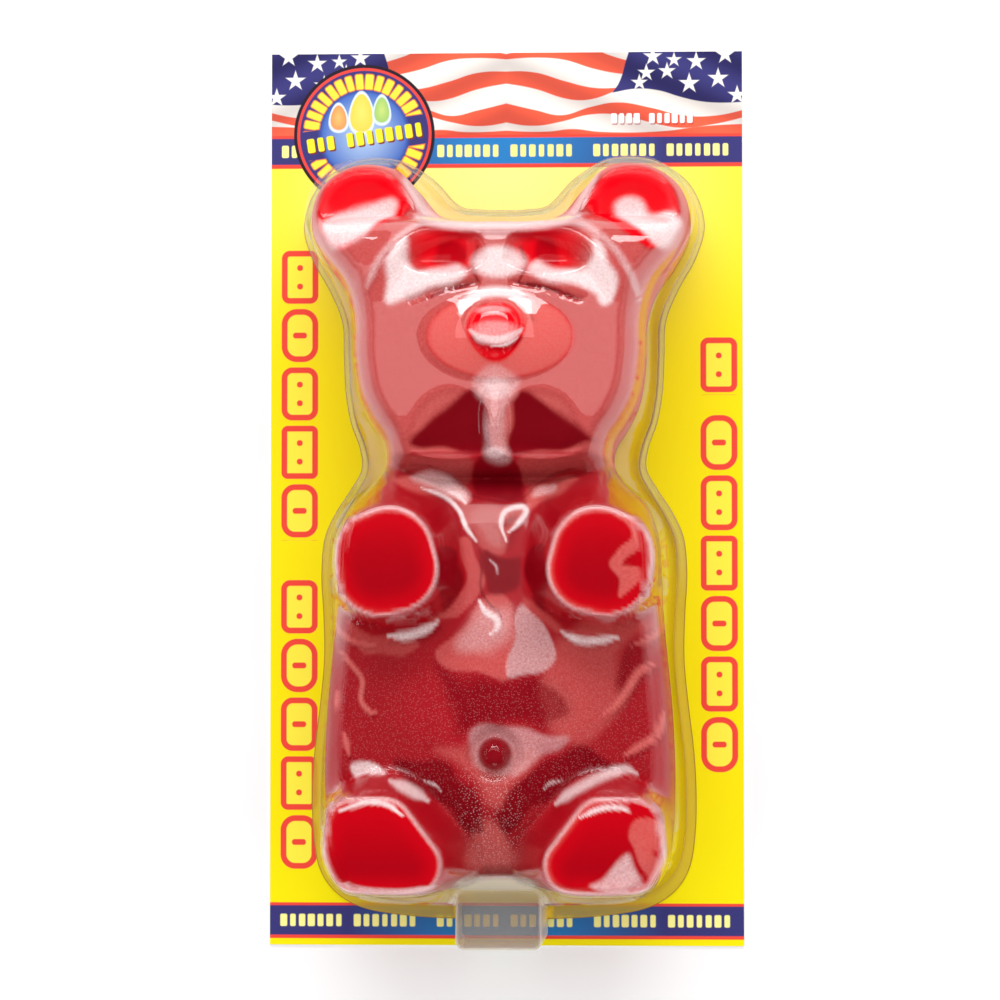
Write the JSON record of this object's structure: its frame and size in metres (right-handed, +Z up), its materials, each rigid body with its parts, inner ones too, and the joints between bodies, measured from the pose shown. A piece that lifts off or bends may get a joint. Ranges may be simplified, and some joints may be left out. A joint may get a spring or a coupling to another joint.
{
  "type": "giant gummy bear in a blister pack",
  "caption": "Giant red translucent gummy bear, cast in one piece, sealed in a clear bear-shaped blister on a printed backing card.",
  "frame": {"origin": "centre of the backing card's underside, which is the bottom centre of the bounding box", "axes": "+Z up from the card through the bear's face, +Y toward the bear's head along the card's long side, +X across the card"},
  "size_m": [0.162, 0.306, 0.0893],
  "materials": {
    "gummy": "gloss",
    "clear_film": "gloss",
    "printed_card": "satin"
  },
  "bodies": {
    "root": {"card": "printed_card", "blister": "clear_film", "bear": "gummy"}
  },
  "joints": []
}
